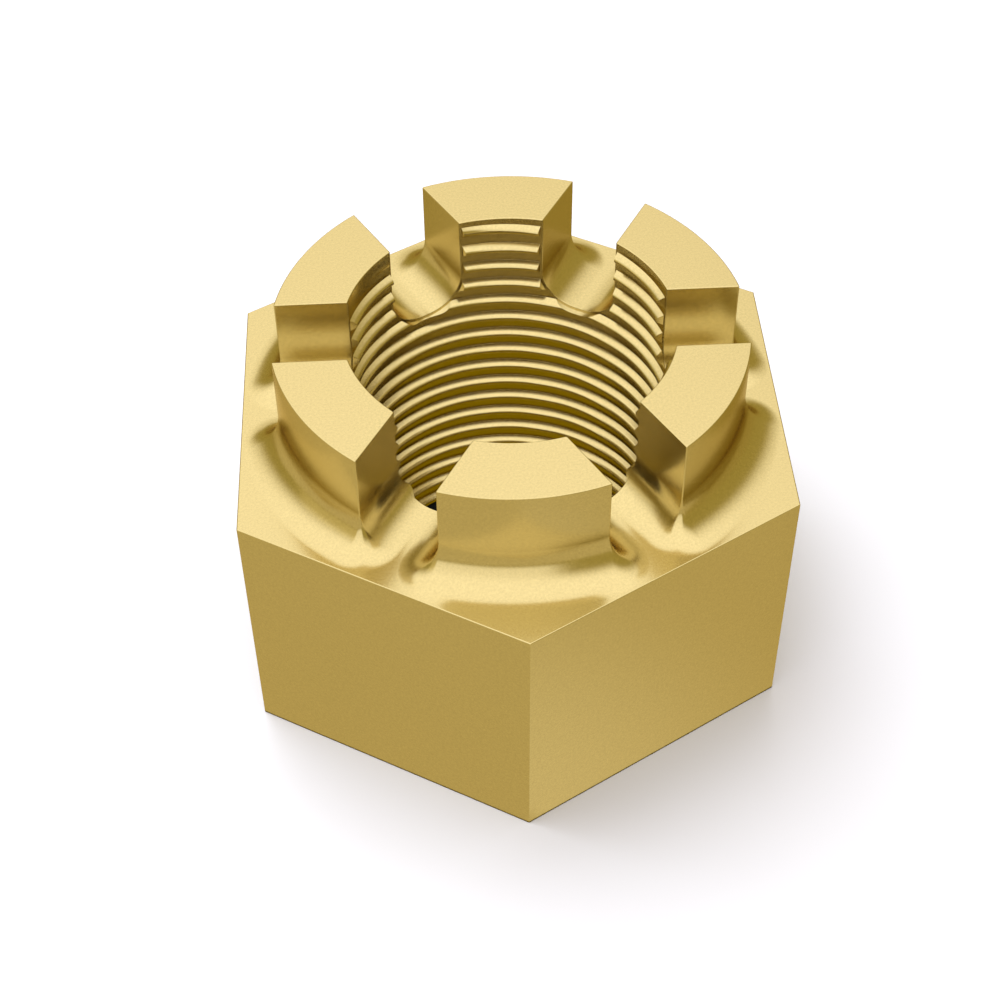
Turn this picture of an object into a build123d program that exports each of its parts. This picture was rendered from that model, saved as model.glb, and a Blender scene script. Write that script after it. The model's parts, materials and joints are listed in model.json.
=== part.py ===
from build123d import *
import math
import os

# Castle nut, turned and milled from one piece of brass bar. Lengths are in millimetres.
# The axis is Z, the bearing face lies on z = 0 and the slotted crown points up.

# Hexagon that the spanner turns
across_flats = 46.0
hexagon_height = 24.4
side_count = 6

# Crown, with one slot for the cotter pin over the middle of each flat
nut_height = 33.6
crown_diameter = 39.8
slot_width = 7.0

# Bore, the plain wall that the thread's ridges stand on
bore_diameter = 27.7

# How far the sharp edges are broken: rounded on the hexagon and up the castellations,
# chamfered on the crown's tops and the bore's lower rim
edge_break = 0.1

# Narrowest flat left where two rounded edges come close together
narrowest_land = 0.02

# Worked out from the sizes above
flat_distance = across_flats / 2
crown_radius = crown_diameter / 2
crown_height = nut_height - hexagon_height
bore_radius = bore_diameter / 2
side_angle = 360 / side_count

# The outer upright edge of a castellation is rounded, and this is how far the round's
# centre lies from the axis, measured square to the flat that the slot points at
upright_round_distance = math.sqrt(
    (crown_radius - edge_break) ** 2 - (slot_width / 2 + edge_break) ** 2
)

# The crown grows out of the hexagon in a fillet as large as the slot and the shoulder allow
shoulder_room = (flat_distance - edge_break) - (upright_round_distance + edge_break)
foot_radius = min((slot_width - narrowest_land) / 2, shoulder_room - narrowest_land)

# Stock left inside the crown's ring, which the bore then takes away
bore_allowance = 1.0


def hexagon_outline():
    """The hexagon, turned so that a flat faces every slot."""
    with BuildSketch() as outline:
        RegularPolygon(
            flat_distance, side_count, major_radius=False, rotation=side_angle / 2
        )
    return outline.sketch


def castellation_outlines():
    """The crown seen from above: a ring parted by slots with parallel walls."""
    with BuildSketch(Plane.XY.offset(hexagon_height)) as outlines:
        Circle(crown_radius)
        Circle(bore_radius - bore_allowance, mode=Mode.SUBTRACT)
        with PolarLocations(0, side_count):
            Rectangle(
                crown_diameter,
                slot_width,
                align=(Align.MIN, Align.CENTER),
                mode=Mode.SUBTRACT,
            )
        fillet(vertices(), edge_break)
    return outlines.sketch


def foot_edges(body):
    """Where the castellations stand on the shoulder."""
    at_shoulder = body.edges().filter_by_position(
        Axis.Z, hexagon_height, hexagon_height
    )
    return [
        edge
        for edge in at_shoulder
        if abs(edge.center() - Vector(0, 0, hexagon_height)) < flat_distance - edge_break
    ]


def level_faces(body):
    """The flat faces square to the axis, in levels: bearing face, shoulder, crown tops."""
    return body.faces().filter_by(Plane.XY).group_by(Axis.Z)


def castle_nut():
    """The nut as one solid: hexagon, crown, foot fillet, bore, then its edges broken."""
    with BuildPart() as nut:
        extrude(hexagon_outline(), hexagon_height)
        extrude(castellation_outlines(), crown_height)
        fillet(foot_edges(nut), foot_radius)
        Hole(bore_radius)
        chamfer(level_faces(nut)[-1].edges(), edge_break)
        chamfer(level_faces(nut)[0].face().inner_wires().edges(), edge_break)
        fillet(level_faces(nut)[1].face().outer_wire().edges(), edge_break)
        fillet(level_faces(nut)[0].face().outer_wire().edges(), edge_break)
    return nut.part


os.makedirs("parts", exist_ok=True)
part = castle_nut()
part.label = "castle_nut"
export_step(part, "parts/castle_nut.step")
print(f"foot fillet {foot_radius:.3f} mm, volume {part.volume / 1000:.2f} cm3")
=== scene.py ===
import json
import math

import bpy
import numpy as np
from mathutils import Matrix, Vector


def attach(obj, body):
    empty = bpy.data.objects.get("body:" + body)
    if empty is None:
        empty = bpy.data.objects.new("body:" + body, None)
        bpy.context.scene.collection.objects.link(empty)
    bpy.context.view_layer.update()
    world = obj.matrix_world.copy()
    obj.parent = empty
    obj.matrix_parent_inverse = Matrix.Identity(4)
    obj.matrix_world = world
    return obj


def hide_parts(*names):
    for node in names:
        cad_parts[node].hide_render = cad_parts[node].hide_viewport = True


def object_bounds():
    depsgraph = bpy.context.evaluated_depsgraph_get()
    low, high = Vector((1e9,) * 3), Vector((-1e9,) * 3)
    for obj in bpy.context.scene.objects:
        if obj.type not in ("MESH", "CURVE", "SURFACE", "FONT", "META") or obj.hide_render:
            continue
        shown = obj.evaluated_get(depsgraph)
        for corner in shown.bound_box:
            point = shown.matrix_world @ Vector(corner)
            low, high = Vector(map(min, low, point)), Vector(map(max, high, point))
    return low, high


# Brass castle nut, standing on its bearing face on a white floor
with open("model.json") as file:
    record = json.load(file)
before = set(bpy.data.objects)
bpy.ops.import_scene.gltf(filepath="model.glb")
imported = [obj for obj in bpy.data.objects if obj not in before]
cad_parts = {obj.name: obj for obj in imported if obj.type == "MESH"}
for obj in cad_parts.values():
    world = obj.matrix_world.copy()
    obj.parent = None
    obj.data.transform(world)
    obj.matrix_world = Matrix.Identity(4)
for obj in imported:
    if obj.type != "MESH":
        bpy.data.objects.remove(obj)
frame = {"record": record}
cadLow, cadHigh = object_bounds()
mm = 0.001
print("frame loaded")


# Shape of the nut, in millimetres; the flats lie square to the slots
nut = {
    "flatDistance": cadHigh.x / mm,
    "height": cadHigh.z / mm,
    "hexagonHeight": 24.4,
    "crownRadius": 19.9,
    "slotHalf": 3.5,
    "edgeRadius": 0.1,
    "narrowestLand": 0.02,
    "mouthRound": 0.08,      # how far the slot's edge in the bore is broken
    "slots": 6,
}
thread = {
    "wallRadius": frame["record"]["mounts"][0]["dims"]["r_mm"],
    "pitch": 2.0,
    "ridgeHeight": 0.63,
    "baseHalf": 0.545,
    "crestHalf": 0.185,
    "rootSoftness": 0.02,    # shares of a flank that round into the root and the crest
    "crestSoftness": 0.5,
    "backRidge": 30.4,       # height of the second ridge's middle at the back
    "backShare": 0.25,       # the back's azimuth, as a share of a turn
    "turns": (-17, 3),       # the lowest and the highest turn, counted from that ridge
    "fadeFrom": 65.0,        # azimuth where the last turn starts to die out
    "fadeTo": 150.0,
    "shy": 0.2,              # the ridges stop this far from the slots
}
# How finely each stretch is divided, and how close two points are joined, in millimetres
cells = {
    "edge": 4,
    "foot": 16,
    "shoulder": 2,
    "straight": 8,
    "uprightIn": 12,
    "arc": 10,
    "hexCorner": 3,
    "weld": 1.2345e-5,
}


def softRamp(rise):
    # 0 at the root and 1 at the crest, joined by a straight flank with a parabola at each
    # end; gives the ramp and its slope
    def lifted(t, soft):
        bend = (t + soft) ** 2 / (4 * soft)
        return np.where(t < -soft, 0, np.where(t > soft, t, bend))

    def tilt(t, soft):
        return np.clip((t + soft) / (2 * soft), 0, 1)

    root, crest = thread["rootSoftness"], thread["crestSoftness"]
    return lifted(rise, root) - lifted(rise - 1, crest), tilt(rise, root) - tilt(rise - 1, crest)


def threadRadius(angle, z):
    # The wall's radius less the ridge: the ridge's middle climbs one pitch a turn, its
    # section is a soft ramp on both sides, and its height dies out along the last turn.
    # Gives the radius and its slopes along the axis and round it
    t = thread
    winding = (z - t["backRidge"]) / t["pitch"] - (angle / (2 * math.pi) - t["backShare"])
    ridge = np.round(winding)
    away = (winding - ridge) * t["pitch"]
    flank = t["baseHalf"] - t["crestHalf"]
    section, slope = softRamp((t["baseHalf"] - np.abs(away)) / flank)
    slope = slope * -np.sign(away) / flank
    wound = ridge + angle / (2 * math.pi)
    last = 1 + t["fadeTo"] / 360
    length = (t["fadeTo"] - t["fadeFrom"]) / 360
    height = t["ridgeHeight"] * np.clip((last - wound) / length, 0, 1)
    radius = t["wallRadius"] - height * section
    alongAxis = -height * slope
    return radius, alongAxis, -alongAxis * t["pitch"] / (2 * math.pi)


def threadRows():
    # Winding numbers of the rows that follow the ridge: seven on each side of its middle,
    # at the two ends of the soft root and across the soft crest
    t = thread
    root, crest = t["rootSoftness"], t["crestSoftness"]
    rise = np.concatenate([ramp(-root, root, 1), ramp(1 - crest, 1 + crest, 4)])
    away = (t["baseHalf"] - rise * (t["baseHalf"] - t["crestHalf"])) / t["pitch"]
    section = np.concatenate([-away, away[::-1]])
    turns = np.arange(t["turns"][0], t["turns"][1] + 1)
    return (turns[:, None] + section).ravel()


def ramp(start, stop, count):
    return np.linspace(start, stop, count + 1)


def between(a, b, share):
    return a + (b - a) * share


class Shell:
    # Patches of one closed surface, each a grid of points with a normal for every point
    def __init__(self):
        self.points, self.normals, self.triangles, self.count = [], [], [], 0

    def patch(self, points, normals):
        # Two triangles for each cell of the grid, all turned to the side the normals point to
        points, normals = np.broadcast_arrays(points, normals)
        rows, columns = points.shape[:2]
        index = np.arange(rows * columns).reshape(rows, columns)
        a, b, c, d = index[:-1, :-1], index[1:, :-1], index[1:, 1:], index[:-1, 1:]
        found = np.stack([np.stack([a, b, c], -1), np.stack([a, c, d], -1)]).reshape(-1, 3)
        flat, facing = points.reshape(-1, 3), normals.reshape(-1, 3)
        corner = flat[found]
        side = np.cross(corner[:, 1] - corner[:, 0], corner[:, 2] - corner[:, 0])
        if np.sum(side * facing[found].sum(1)) < 0:
            found = found[:, ::-1]
        self.points.append(flat)
        self.normals.append(facing)
        self.triangles.append(found + self.count)
        self.count += len(flat)

    def build(self, name):
        # Points that fall together become one, and triangles that close up are dropped
        points = np.concatenate(self.points)
        normals = np.concatenate(self.normals)
        triangles = np.concatenate(self.triangles)
        step = cells["weld"]
        unique, where = np.unique(np.round(points / step), axis=0, return_inverse=True)
        unique, where = unique * step, where.ravel()
        welded = where[triangles]
        a, b, c = welded.T
        open3 = (a != b) & (b != c) & (c != a)
        welded, triangles = welded[open3], triangles[open3]
        mesh = bpy.data.meshes.new(name)
        mesh.vertices.add(len(unique))
        mesh.vertices.foreach_set("co", (unique * mm).astype(np.float32).ravel())
        mesh.loops.add(welded.size)
        mesh.loops.foreach_set("vertex_index", welded.astype(np.int32).ravel())
        mesh.polygons.add(len(welded))
        mesh.polygons.foreach_set("loop_start", np.arange(0, welded.size, 3, dtype=np.int32))
        mesh.update(calc_edges=True)
        mesh.polygons.foreach_set("use_smooth", np.ones(len(welded), bool))
        facing = normals[triangles.ravel()]
        facing /= np.linalg.norm(facing, axis=1)[:, None]
        mesh.normals_split_custom_set(facing.tolist())
        mesh.update()
        piece = bpy.data.objects.new(name, mesh)
        bpy.context.scene.collection.objects.link(piece)
        return piece


def halfSlot(shell, azimuth, side):
    # One twelfth of the nut, from a slot's middle plane to the middle of the castellation
    # on its left (side 1) or right (side -1). Here x runs out along the slot, y is the
    # distance from its middle plane and z the height
    n, c = nut, cells
    edge, half, height, shoulder = n["edgeRadius"], n["slotHalf"], n["height"], n["hexagonHeight"]
    crown, wall = n["crownRadius"], thread["wallRadius"]
    insetFlat = n["flatDistance"] - edge
    middle = math.pi / n["slots"]
    roundX = math.sqrt((crown - edge) ** 2 - (half + edge) ** 2)
    foot = min(half - n["narrowestLand"] / 2, insetFlat - roundX - edge - n["narrowestLand"])
    mouth, shy = n["mouthRound"], thread["shy"]

    def place(x, y, z, nx, ny, nz):
        x, y, z, nx, ny, nz = np.broadcast_arrays(x, y, z, nx, ny, nz)
        cosine, sine = math.cos(azimuth), math.sin(azimuth)
        points = np.stack([x * cosine - side * y * sine, x * sine + side * y * cosine, z], -1)
        normals = np.stack([nx * cosine - side * ny * sine, nx * sine + side * ny * cosine, nz], -1)
        return points, normals

    def boreSkin(low, high, phase, angleAt):
        # Rows follow the ridge and are held between two heights, so that those outside
        # close up on the edge
        turned = azimuth + side * phase
        wound = threadRows()[:, None] + turned / (2 * math.pi) - thread["backShare"]
        z = np.clip(thread["backRidge"] + thread["pitch"] * wound, low, high)
        radius, alongAxis, round_ = threadRadius(turned, z)
        angle = angleAt(radius)
        nAlong = side * round_ / radius
        nx = -np.cos(angle) - nAlong * np.sin(angle)
        ny = -np.sin(angle) + nAlong * np.cos(angle)
        return radius * np.cos(angle), radius * np.sin(angle), z, nx, ny, alongAxis

    # Profile of a castellation's side: how far out from the wall, how high, and its normal
    topTurn = ramp(math.pi / 2, 0, c["edge"])[:, None]
    topOut = -edge * (1 - np.cos(topTurn))
    topHigh = height - edge + edge * np.sin(topTurn)
    footTurn = ramp(0, math.pi / 2, c["foot"])[:, None]
    footOut = foot * (1 - np.cos(footTurn))
    footHigh = shoulder + foot * (1 - np.sin(footTurn))
    footTop, wallTop = shoulder + foot, height - edge

    # The slot's outline in the bore, from the wall round the trough to its middle, moved out
    # into the metal by some distance: one point for each row of the foot and of the floor
    turn = np.concatenate([footTurn.ravel(), np.full(c["shoulder"], math.pi / 2)])
    flatShare = np.concatenate([np.zeros(c["foot"] + 1), ramp(0, 1, c["shoulder"])[1:]])
    inwardY, inwardZ = -np.cos(turn), np.sin(turn)

    def slotOutline(out):
        reach = foot + out
        return (half - foot) * (1 - flatShare) + reach * np.cos(turn), footTop - reach * np.sin(turn)

    def onWall(y, z, radius=wall):
        # Point of the bore wall at a distance from the slot's middle plane, and its normal
        angle = np.arcsin(y / radius)
        return radius * np.cos(angle), y, z, -np.cos(angle), -np.sin(angle), 0

    def strip(first, second):
        # Patch between two lines of points, each given by its points and its normals
        lines = [np.stack(np.broadcast_arrays(*line)) for line in (first, second)]
        shell.patch(*place(*np.stack(lines, -1)))

    # Bore under the slot. The ridges end in a small step, then come a plain band of the
    # wall and the slot's broken edge
    ridgeY, ridgeZ = slotOutline(shy)
    underSlot = boreSkin(0, ridgeZ, np.arcsin(ridgeY / wall), lambda radius: np.arcsin(ridgeY / radius))
    shell.patch(*place(*underSlot))
    ridgeEnd = [line[-1] for line in underSlot[:3]]
    bandEnd, bandStart = onWall(ridgeY, ridgeZ), onWall(*slotOutline(mouth))
    strip((*ridgeEnd, 0, inwardY, inwardZ), (*bandEnd[:3], 0, inwardY, inwardZ))
    strip(bandEnd, bandStart)
    slotY, slotZ = slotOutline(0)
    edgeX = np.sqrt(wall ** 2 - slotY ** 2) + mouth
    strip(bandStart, (edgeX, slotY, slotZ, 0, inwardY, inwardZ))

    # Bore wall of the castellation, below and above the level where the foot starts
    share = ramp(0, 1, c["arc"])
    phase = between(math.asin((half + shy) / wall), middle, share)

    def castellationAngle(radius):
        return between(np.arcsin((half + shy) / radius), middle, share)

    lower = boreSkin(0, footTop, phase, castellationAngle)
    upper = boreSkin(footTop, wallTop, phase, castellationAngle)
    shell.patch(*place(*lower))
    shell.patch(*place(*upper))
    endX, endZ = upper[0][:, 0], upper[2][:, 0]
    level = np.where(endZ < (footTop + wallTop) / 2, footTop, wallTop)
    bandEnd = onWall(half + shy, endZ)
    strip((endX, half + shy, endZ, 0, -1, 0), (*bandEnd[:3], 0, -1, 0))
    strip(bandEnd, onWall(half + mouth, level))
    ends = np.array([footTop, wallTop])
    strip(onWall(half + mouth, ends), (edgeX[0], half, ends, 0, -1, 0))

    # Round between the bore wall and the top, with the same three steps beside the slot
    inset, high = -topOut.ravel(), topHigh.ravel()
    rim = wall + inset
    cornerX = np.sqrt(rim ** 2 - (half + inset) ** 2) + mouth
    outward, up = np.cos(topTurn.ravel()), np.sin(topTurn.ravel())

    def onRim(out):
        x, y, z, nx, ny, _ = onWall(half + inset + out, high, rim)
        return x, y, z, nx * outward, ny * outward, up

    strip((cornerX, half + inset, high, 0, -outward, up), onRim(mouth))
    strip(onRim(mouth), onRim(shy))
    rimRadius = rim[:, None]
    rimAngle = between(np.arcsin((half + inset + shy)[:, None] / rimRadius), middle, share)
    shell.patch(*place(
        rimRadius * np.cos(rimAngle), rimRadius * np.sin(rimAngle), topHigh,
        -np.cos(topTurn) * np.cos(rimAngle), -np.cos(topTurn) * np.sin(rimAngle), np.sin(topTurn),
    ))

    # Top, from the bore's rim to the crown's
    along = ramp(0, 1, c["straight"])
    outerAngle = between(math.asin((half + edge) / (crown - edge)), middle, share)
    innerX = np.concatenate([[cornerX[0], onRim(mouth)[0][0]], rim[0] * np.cos(rimAngle[0])])
    innerY = np.concatenate([[half + edge, half + edge + mouth], rim[0] * np.sin(rimAngle[0])])
    outerX = np.concatenate([[roundX, roundX], (crown - edge) * np.cos(outerAngle)])
    outerY = np.concatenate([[half + edge, half + edge], (crown - edge) * np.sin(outerAngle)])
    shell.patch(*place(
        between(innerX, outerX, along[:, None]), between(innerY, outerY, along[:, None]), height,
        0, 0, 1,
    ))

    # Slot wall and the round above it
    shell.patch(*place(between(edgeX[0], roundX, along), half, ends[:, None], 0, -1, 0))
    shell.patch(*place(
        between(cornerX[:, None], roundX, along), half - topOut, topHigh,
        0, -np.cos(topTurn), np.sin(topTurn),
    ))

    # Trough: the foot's quarter round and a narrow floor, from the bore outwards
    shell.patch(*place(
        between(edgeX[:, None], roundX, along), slotY[:, None], slotZ[:, None],
        0, inwardY[:, None], inwardZ[:, None],
    ))

    # Round upright edge, then the crown's outer face; each column goes down the whole profile
    centreY = half + edge
    turnOut = math.asin(centreY / (crown - edge))
    turnKnee = math.atan2(-centreY, insetFlat - roundX)
    upright = np.concatenate([
        ramp(-math.pi / 2, turnKnee, c["uprightIn"]),
        ramp(turnKnee, turnOut, c["foot"] + c["shoulder"])[1:],
    ])
    arc = between(turnOut, middle, share)
    tiny = 1e-9
    reach = np.where(
        upright < turnKnee + tiny,
        -centreY / np.minimum(np.sin(upright), -tiny),
        (insetFlat - roundX) / np.maximum(np.cos(upright), tiny),
    )
    for facing, startX, startY, start, limit in (
        (upright, roundX, centreY, edge, reach),
        (arc, 0, 0, crown, insetFlat / np.cos(arc)),
    ):
        cosine, sine = np.cos(facing), np.sin(facing)
        for out, high, outward, up in (
            (topOut, topHigh, np.cos(topTurn), np.sin(topTurn)),
            (0, np.array([[wallTop], [footTop]]), 1, 0),
            (footOut, footHigh, np.cos(footTurn), np.sin(footTurn)),
        ):
            shell.patch(*place(
                startX + (start + out) * cosine, startY + (start + out) * sine, high,
                outward * cosine, outward * sine, up,
            ))
        flat = between(start + foot, limit, ramp(0, 1, c["shoulder"])[:, None])
        shell.patch(*place(startX + flat * cosine, startY + flat * sine, shoulder, 0, 0, 1))

    # Hexagon: round top edge, flat, round bottom edge; the corner is a round column
    kneeTo = c["uprightIn"]
    outline = np.concatenate([
        centreY + (reach * np.sin(upright))[kneeTo:-1],
        insetFlat * np.tan(arc),
    ])
    cornerY = insetFlat * math.tan(middle)
    below = ramp(0, cornerY, len(outline) - 1)
    turn = ramp(0, math.pi / 2, c["edge"])[:, None]
    cornerTurn = ramp(0, middle, c["hexCorner"])
    for out, high, outward, up, drop in (
        (edge * np.sin(turn), shoulder - edge * (1 - np.cos(turn)), np.sin(turn), np.cos(turn), 0),
        (edge, np.array([[shoulder - edge], [edge]]), 1, 0, np.array([[0], [1]])),
        (edge * np.cos(turn), edge * (1 - np.sin(turn)), np.cos(turn), -np.sin(turn), 1),
    ):
        shell.patch(*place(
            insetFlat + out, between(outline, below, drop), high, outward, 0, up
        ))
        shell.patch(*place(
            insetFlat + out * np.cos(cornerTurn), cornerY + out * np.sin(cornerTurn), high,
            outward * np.cos(cornerTurn), outward * np.sin(cornerTurn), up,
        ))

    # Bearing face, from the cut thread to the hexagon
    boreX = np.concatenate([underSlot[0][0][::-1], lower[0][0][1:]])
    boreY = np.concatenate([underSlot[1][0][::-1], lower[1][0][1:]])
    spread = ramp(0, 1, c["shoulder"])[:, None]
    shell.patch(*place(
        between(boreX, insetFlat, spread), between(boreY, below, spread), 0, 0, 0, -1
    ))


def buildNut():
    shell = Shell()
    for slot in range(nut["slots"]):
        for side in (1, -1):
            halfSlot(shell, slot * 2 * math.pi / nut["slots"], side)
    return shell.build("threaded_nut")


body = buildNut()
print("nut built", len(body.data.polygons), "triangles")


class Wire:
    # A shader socket that adds Math nodes when it is used in an expression
    def __init__(self, nodes, socket):
        self.nodes, self.socket = nodes, socket

    def join(self, operation, a, b=0.0):
        return self.nodes.add("ShaderNodeMath", {"operation": operation}, {0: a, 1: b})

    def __add__(self, other):
        return self.join("ADD", self, other)

    def __radd__(self, other):
        return self.join("ADD", other, self)

    def __sub__(self, other):
        return self.join("SUBTRACT", self, other)

    def __rsub__(self, other):
        return self.join("SUBTRACT", other, self)

    def __mul__(self, other):
        return self.join("MULTIPLY", self, other)

    def __rmul__(self, other):
        return self.join("MULTIPLY", other, self)

    def __lt__(self, other):
        return self.join("LESS_THAN", self, other)

    def __gt__(self, other):
        return self.join("GREATER_THAN", self, other)

    def __abs__(self):
        return self.join("ABSOLUTE", self)

    def orLarger(self, other):
        return self.join("MAXIMUM", self, other)


class Nodes:
    # Builds one node tree: a node's type, its settings first, then its sockets
    def __init__(self, tree):
        self.tree = tree
        tree.nodes.clear()

    def add(self, kind, settings=None, sockets=None, output=0):
        node = self.tree.nodes.new(kind)
        for name, value in (settings or {}).items():
            setattr(node, name, value)
        for name, value in (sockets or {}).items():
            if isinstance(value, Wire):
                self.tree.links.new(value.socket, node.inputs[name])
            else:
                node.inputs[name].default_value = value
        return Wire(self, node.outputs[output]) if node.outputs else node

    def blend(self, share, first, second):
        # Colour that goes from the first to the second as the share goes from 0 to 1
        return self.add(
            "ShaderNodeMix", {"data_type": "RGBA"}, {0: share, 6: first, 7: second}, output=2
        )

    def fade(self, value, edge):
        # Goes smoothly from 0 to 1 while the value goes from one end of the edge to the other
        return self.add(
            "ShaderNodeMapRange", {"interpolation_type": "SMOOTHSTEP"},
            {0: value, 1: edge[0], 2: edge[1]},
        )


# Brass: colours are linear
brass = {
    "colour": (0.62, 0.543, 0.31),
    "mottle": 0.14,          # share by which the grain darkens and lightens the colour
    "edgeTint": (0.8, 0.7, 0.48, 1.0),
    "roughness": 0.2,
    "roughnessSpread": 0.06, # between the grain's darkest and lightest places
    "threadRoughness": 0.18,
    "threadMargin": 0.03,    # millimetres past the bore's wall that are as smooth as the thread
    "grainScale": 5000.0,
    "grainDetail": 1.5,
    "grainHarshness": 0.6,
    "grainStrength": 0.25,
    "grainDepth": 0.0000025,
}


def brassMaterial():
    material = bpy.data.materials.new("brass")
    material.use_nodes = True
    nodes = Nodes(material.node_tree)
    place = nodes.add("ShaderNodeTexCoord", output=3)
    grain = nodes.add(
        "ShaderNodeTexNoise", {"noise_dimensions": "3D"},
        {
            "Vector": place, "Scale": brass["grainScale"],
            "Detail": brass["grainDetail"], "Roughness": brass["grainHarshness"],
        },
    )
    darker, lighter = [
        (*[channel * share for channel in brass["colour"]], 1.0)
        for share in (1 - brass["mottle"], 1 + brass["mottle"])
    ]
    level = nodes.add("ShaderNodeVectorMath", {"operation": "MULTIPLY"}, {0: place, 1: (1, 1, 0)})
    away = nodes.add("ShaderNodeVectorMath", {"operation": "LENGTH"}, {0: level}, output=1)
    cut = away < (thread["wallRadius"] + brass["threadMargin"]) * mm
    smoother = (brass["roughness"] - brass["threadRoughness"]) * cut
    bump = nodes.add(
        "ShaderNodeBump", {},
        {"Strength": brass["grainStrength"], "Distance": brass["grainDepth"], "Height": grain},
    )
    surface = nodes.add(
        "ShaderNodeBsdfPrincipled", {"distribution": "MULTI_GGX"},
        {
            "Base Color": nodes.blend(grain, darker, lighter),
            "Metallic": 1.0,
            "Specular Tint": brass["edgeTint"],
            "Roughness": brass["roughness"] - smoother + (grain - 0.5) * brass["roughnessSpread"],
            "Normal": bump,
        },
    )
    nodes.add("ShaderNodeOutputMaterial", {}, {"Surface": surface})
    return material


body.data.materials.append(brassMaterial())
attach(body, "root")
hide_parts("castle_nut")
print("brass applied")


# Floor and lamps; lengths in metres. The floor's glows are what the metal shows of it, with painted shade
# and painted light in them
studio = {
    "floorSize": 8.0,
    "floorHeight": 0.00002,  # a little above the bearing face, which then shows from below
    "floorColour": (0.643, 0.688, 0.93, 1.0),
    "frontGlow": (0.735, 0.587, 0.267, 1.0),
    # Painted light: a brighter patch in the floor's glow to the right of the nut's front corner
    "cornerGlow": (0.96, 0.815, 0.49, 1.0),
    "cornerReach": 0.034,    # how far the painted pool of light at the front corner spreads
    "cornerEdge": (-0.001, 0.002),
    # Painted shade: the floor's glow behind the nut is dimmer, in what the metal shows
    "backGlow": (0.48, 0.36, 0.095, 1.0),
    "backEdge": (-0.005, 0.03),
    "backLean": 0.45,        # the front's glow reaches further back on the left
    # Painted contact shadow: a dark line in the floor's glow where the nut stands on it
    "contactGlow": (0.12, 0.09, 0.02, 1.0),
    "contactWidth": 0.00012,
    "boreReach": 0.018,      # the floor inside the bore, and some that the nut hides, which takes the painted bore shade
    # Painted shade: the floor's matt colour is near black under the nut, for the shadow inside the bore
    "boreColour": (0.02, 0.025, 0.04, 1.0),
    # Painted shade and painted bounce light: the dim brass-coloured glow the metal shows of the floor
    # inside the bore
    "boreGlow": (0.285, 0.187, 0.0, 1.0),
    "farAway": (0.1, 0.22),  # over this distance the camera's floor turns as white as its sky
    "leftPlace": (-1.2, -0.3, 0.35),
    "leftTarget": (0, 0, 0.02),
    "leftSize": (1.0, 0.6),
    "leftBrightness": 0.29,
    "leftColour": (1.0, 0.86, 0.55),
    "shadowPlace": (-0.34, 0.33, 0.97),
    "shadowSize": (0.9, 0.9),
    "shadowBrightness": 3.85,
    "shadowColour": (1.0, 0.985, 0.81),
}
# The sky is dim at the horizon and bright overhead, with a bright curtain in front and one
# behind. Edges are pairs of coordinates on the sphere of directions
sky = {
    "dim": (0.49, 0.38, 0.1, 1.0),
    "bright": (1.57, 1.42, 1.13, 1.0),
    "rise": (0.36, 0.83),
    "lean": 0.12,            # the left side is brighter than the right
    "middle": (-0.1, 0.1),   # where the front passes into the back
    "frontCurtain": 0.78,
    "frontLeft": (-0.85, -0.72),
    "frontRight": (0.18, 0.34),
    "frontFoot": (0.05, 0.16),
    "backCurtain": 0.56,
    "backLeft": (-0.38, -0.28),
    "backRight": (0.12, 0.3),
    "backFoot": (0.15, 0.28),
    "under": (0.85, 0.72, 0.42, 1.0),
    "underEdge": (-0.2, -0.05),
    "seen": (1.0, 1.0, 1.0, 1.0),  # what the camera sees of it
}


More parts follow.
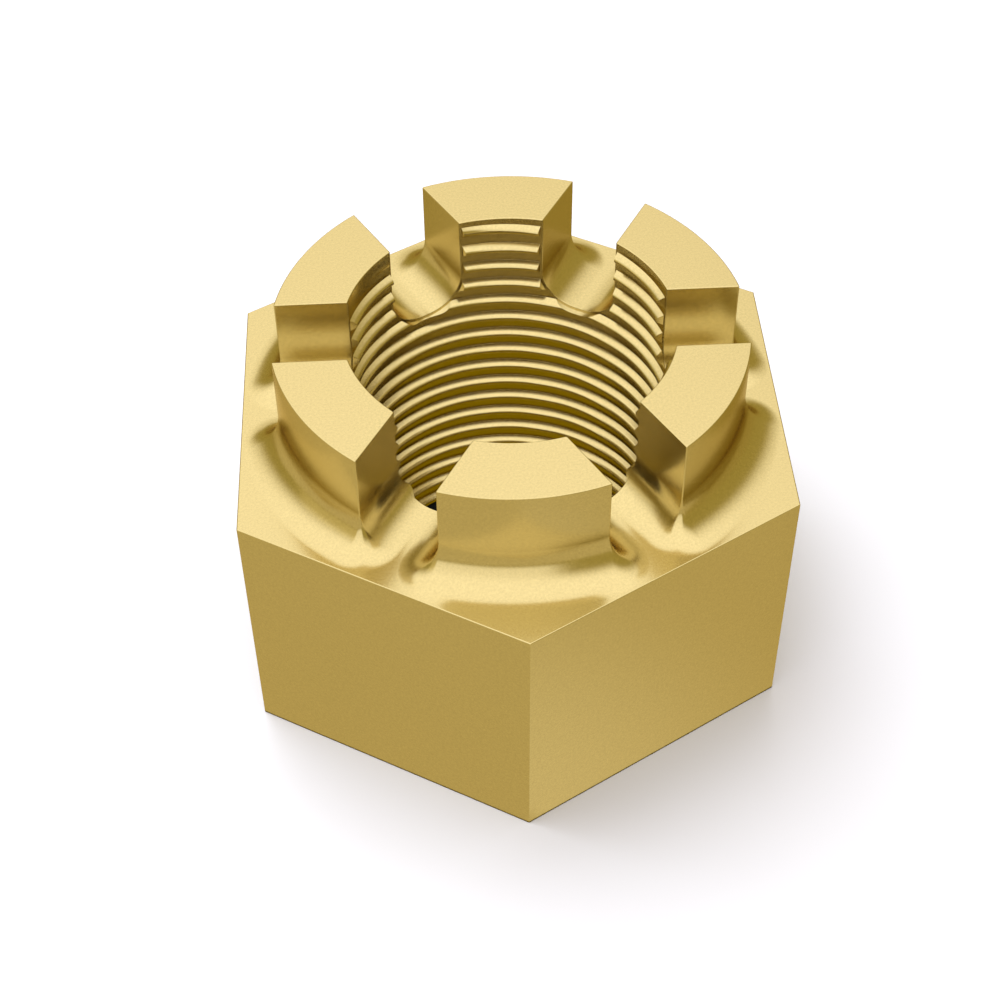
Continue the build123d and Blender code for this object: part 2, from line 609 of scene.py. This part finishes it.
def floorMaterial():
    # The camera sees it matt, with the shadow, painted near black inside the bore (painted shade) and
    # white far away.
    # In the metal it glows evenly at the front, with painted shade and light: dimmer behind the nut
    # (painted shade), a painted pool of light to the right of its front corner, a dim brass-coloured glow
    # inside the bore (painted shade and painted bounce light), and a painted contact shadow along the
    # line where the nut stands on it. From below it is clear
    material = bpy.data.materials.new("white_floor")
    material.use_nodes = True
    nodes = Nodes(material.node_tree)
    seen, mirrored, passed = [nodes.add("ShaderNodeLightPath", output=k) for k in (0, 3, 6)]
    fromBelow = nodes.add("ShaderNodeNewGeometry", output=6)
    place = nodes.add("ShaderNodeTexCoord", output=3)
    x, y = [nodes.add("ShaderNodeSeparateXYZ", {}, {0: place}, output=k) for k in range(2)]
    away = nodes.add("ShaderNodeVectorMath", {"operation": "LENGTH"}, {0: place}, output=1)
    outside = away > studio["boreReach"]
    # Painted shade: near black inside the bore, the floor's own colour outside
    colour = nodes.blend(outside, studio["boreColour"], studio["floorColour"])

    # Painted shade: behind the nut the floor glows dimmer in the metal
    behind = nodes.fade(y + studio["backLean"] * x, studio["backEdge"])
    glow = nodes.blend(behind, studio["frontGlow"], studio["backGlow"])
    # Painted pool of light to the right of the front corner, in what the metal shows
    fromCorner = nodes.add(
        "ShaderNodeVectorMath", {"operation": "DISTANCE"}, {0: place, 1: (0, cadLow.y, 0)}, output=1
    )
    near = 1 - nodes.fade(fromCorner, (0, studio["cornerReach"]))
    glow = nodes.blend(nodes.fade(x, studio["cornerEdge"]) * near, glow, studio["cornerGlow"])
    # How far out a point lies, measured square to the hexagon's flats
    across = [
        abs(x * math.cos(turn) + y * math.sin(turn)) for turn in (0, math.pi / 3, 2 * math.pi / 3)
    ]
    # Painted contact shadow along the hexagon's foot, in what the metal shows
    contact = across[0].orLarger(across[1]).orLarger(across[2]) < cadHigh.x + studio["contactWidth"]
    glow = nodes.blend(contact, glow, studio["contactGlow"])
    # Painted shade and bounce light inside the bore, in what the metal shows
    glow = nodes.blend(outside, studio["boreGlow"], glow)

    matt = nodes.add("ShaderNodeBsdfDiffuse", {}, {"Color": colour})
    lit = nodes.add("ShaderNodeEmission", {}, {"Color": glow, "Strength": 1.0})
    white = nodes.add("ShaderNodeEmission", {}, {"Color": sky["seen"], "Strength": 1.0})
    clear = nodes.add("ShaderNodeBsdfTransparent")
    far = nodes.fade(away, studio["farAway"]) * seen
    surface = nodes.add("ShaderNodeMixShader", {}, {0: mirrored + passed, 1: matt, 2: lit})
    surface = nodes.add("ShaderNodeMixShader", {}, {0: far, 1: surface, 2: white})
    surface = nodes.add("ShaderNodeMixShader", {}, {0: fromBelow, 1: surface, 2: clear})
    nodes.add("ShaderNodeOutputMaterial", {}, {"Surface": surface})
    return material


def buildFloor():
    reach, high = studio["floorSize"] / 2, studio["floorHeight"]
    mesh = bpy.data.meshes.new("floor")
    corners = [(-reach, -reach, high), (reach, -reach, high), (reach, reach, high), (-reach, reach, high)]
    mesh.from_pydata(corners, [], [(0, 1, 2, 3)])
    floor = bpy.data.objects.new("floor", mesh)
    mesh.materials.append(floorMaterial())
    bpy.context.scene.collection.objects.link(floor)


def buildSky():
    world = bpy.data.worlds.new("studio")
    bpy.context.scene.world = world
    world.use_nodes = True
    nodes = Nodes(world.node_tree)
    direction = nodes.add("ShaderNodeTexCoord", output=0)
    x, y, z = [nodes.add("ShaderNodeSeparateXYZ", {}, {0: direction}, output=k) for k in range(3)]
    back = nodes.fade(y, sky["middle"])
    inFront = nodes.fade(x, sky["frontLeft"]) - nodes.fade(x, sky["frontRight"])
    behind = nodes.fade(x, sky["backLeft"]) - nodes.fade(x, sky["backRight"])
    front = sky["frontCurtain"] * (1 - back) * inFront * nodes.fade(z, sky["frontFoot"])
    curtain = front + sky["backCurtain"] * back * behind * nodes.fade(z, sky["backFoot"])
    rise = nodes.fade(z - sky["lean"] * x, sky["rise"])
    colour = nodes.blend(rise + curtain * (1 - rise), sky["dim"], sky["bright"])
    colour = nodes.blend(nodes.fade(z, sky["underEdge"]), sky["under"], colour)
    seen = nodes.add("ShaderNodeLightPath", output=0)
    colour = nodes.blend(seen, colour, sky["seen"])
    light = nodes.add("ShaderNodeBackground", {}, {"Color": colour, "Strength": 1.0})
    nodes.add("ShaderNodeOutputWorld", {}, {"Surface": light})


def addLamp(name, place, target, size, brightness, colour):
    # A rectangle whose face shows the given brightness, whatever its size
    lamp = bpy.data.lights.new(name, "AREA")
    lamp.shape = "RECTANGLE"
    lamp.size, lamp.size_y = size
    lamp.energy = brightness * math.pi * size[0] * size[1]
    lamp.color = colour
    holder = bpy.data.objects.new(name, lamp)
    holder.location = place
    holder.rotation_euler = (Vector(target) - Vector(place)).to_track_quat("-Z", "Y").to_euler()
    bpy.context.scene.collection.objects.link(holder)
    return holder


buildFloor()
buildSky()
addLamp(
    "left", studio["leftPlace"], studio["leftTarget"], studio["leftSize"],
    studio["leftBrightness"], studio["leftColour"],
)
# This one is for the shadow on the floor, and the metal does not show it
shadowLamp = addLamp(
    "floor_lamp", studio["shadowPlace"], (0, 0, 0), studio["shadowSize"],
    studio["shadowBrightness"], studio["shadowColour"],
)
shadowLamp.visible_glossy = False
print("studio lit")


# Camera as in the photograph; lengths in millimetres, angles in degrees
camera = {
    "lens": 69.457,
    "sensor": 36.0,
    "nearest": 10.0,
    "azimuth": -2.7358,
    "elevation": 46.8358,
    "roll": -0.5595,
    "distance": 191.749,
    "target": (-0.4114, 11.588, 0.0),
}


def buildCamera():
    # Back along the view from the target, then turned about it by the roll
    azimuth, elevation = math.radians(camera["azimuth"]), math.radians(camera["elevation"])
    back = Vector((
        math.sin(azimuth) * math.cos(elevation),
        -math.cos(azimuth) * math.cos(elevation),
        math.sin(elevation),
    ))
    right = (-back).cross(Vector((0, 0, 1))).normalized()
    up = right.cross(-back)
    roll = math.radians(camera["roll"])
    across = math.cos(roll) * right + math.sin(roll) * up
    upward = -math.sin(roll) * right + math.cos(roll) * up
    data = bpy.data.cameras.new("camera")
    data.lens = camera["lens"]
    data.sensor_width = camera["sensor"]
    data.clip_start = camera["nearest"] * mm
    holder = bpy.data.objects.new("camera", data)
    turn = Matrix((across, upward, back)).transposed().to_4x4()
    spot = (Vector(camera["target"]) + camera["distance"] * back) * mm
    holder.matrix_world = Matrix.Translation(spot) @ turn
    bpy.context.scene.collection.objects.link(holder)
    bpy.context.scene.camera = holder


buildCamera()
bpy.context.scene.view_settings.view_transform = "Standard"
print("camera set")
